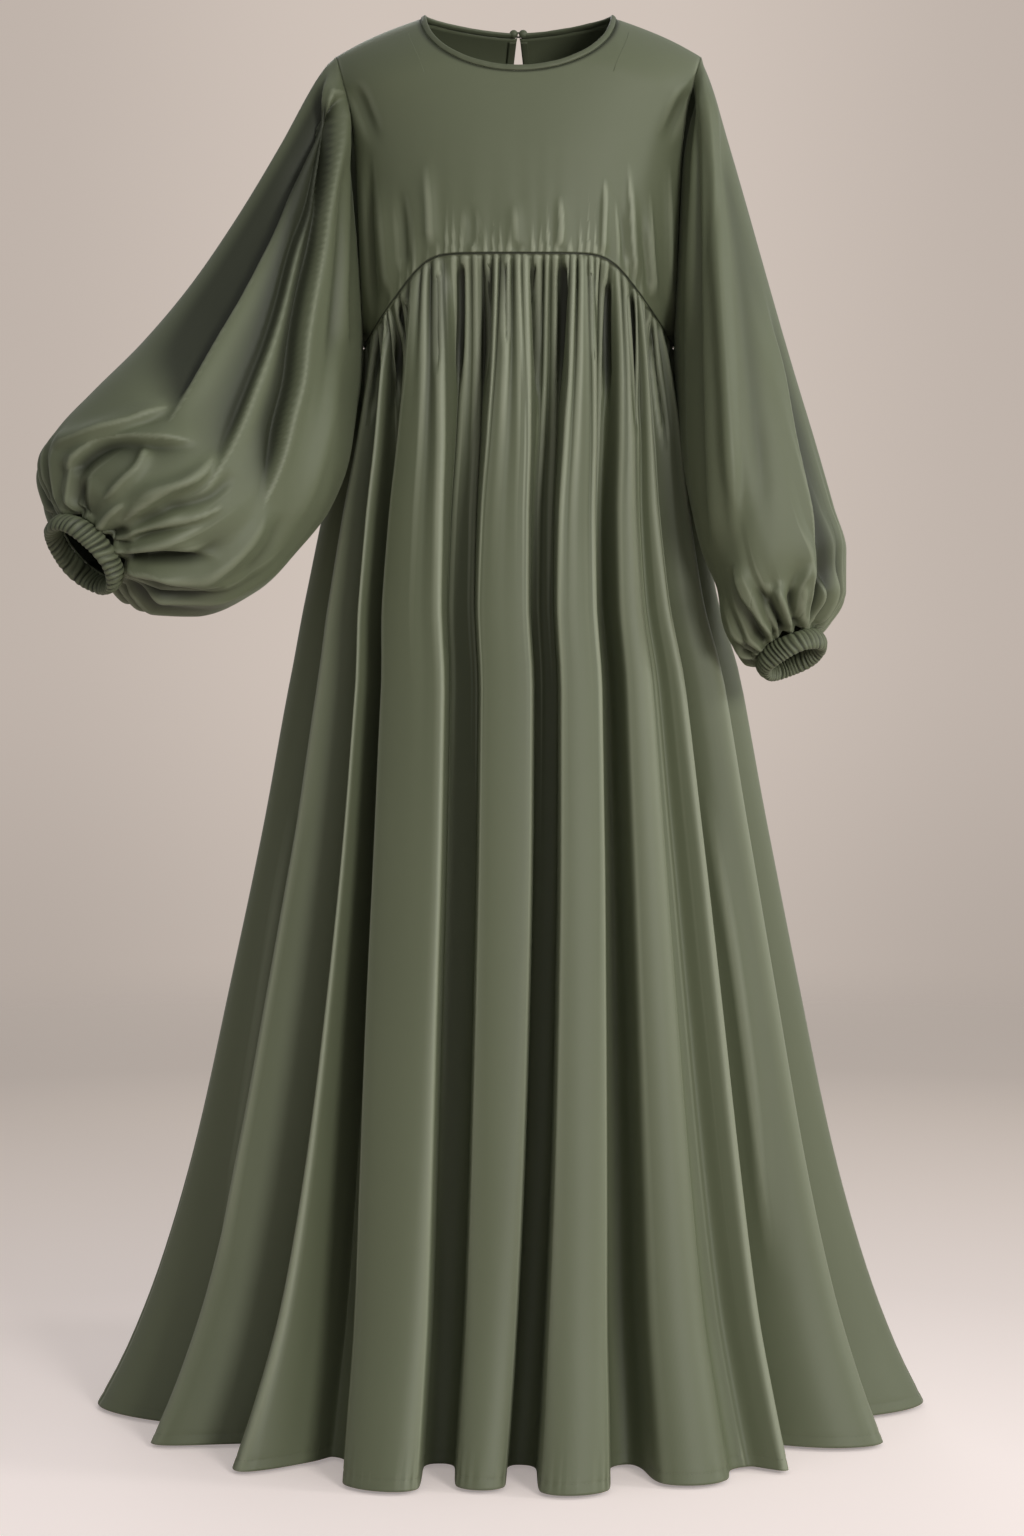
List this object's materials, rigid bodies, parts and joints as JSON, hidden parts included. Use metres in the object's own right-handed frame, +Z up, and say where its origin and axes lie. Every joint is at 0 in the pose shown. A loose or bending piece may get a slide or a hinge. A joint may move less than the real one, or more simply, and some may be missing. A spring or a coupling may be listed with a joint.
{
  "type": "abaya",
  "caption": "Floor-length overdress of soft crepe: round bound neck, back keyhole, arched high-waist seam, gathered skirt and balloon sleeves with elastic cuffs.",
  "frame": {"origin": "midway between the two side neck points, where the wearer's shoulders hold the garment up", "axes": "+Z up, +X towards the wearer's left, the front faces -Y"},
  "size_m": [0.9064, 0.7357, 1.4429],
  "materials": {
    "crepe": "soft satin-backed crepe, sage green, low sheen",
    "trim": "the same crepe, folded into narrow trim"
  },
  "bodies": {
    "root": {"bodice_front": "crepe", "bodice_back": "crepe", "skirt_front": "crepe", "skirt_back": "crepe", "sleeve_right": "crepe", "sleeve_left": "crepe", "cuff_right": "crepe", "cuff_left": "crepe", "neck_binding": "trim", "keyhole_facing": "trim", "back_button": "trim", "loop_knot": "trim", "button_loop": "trim"}
  },
  "joints": []
}
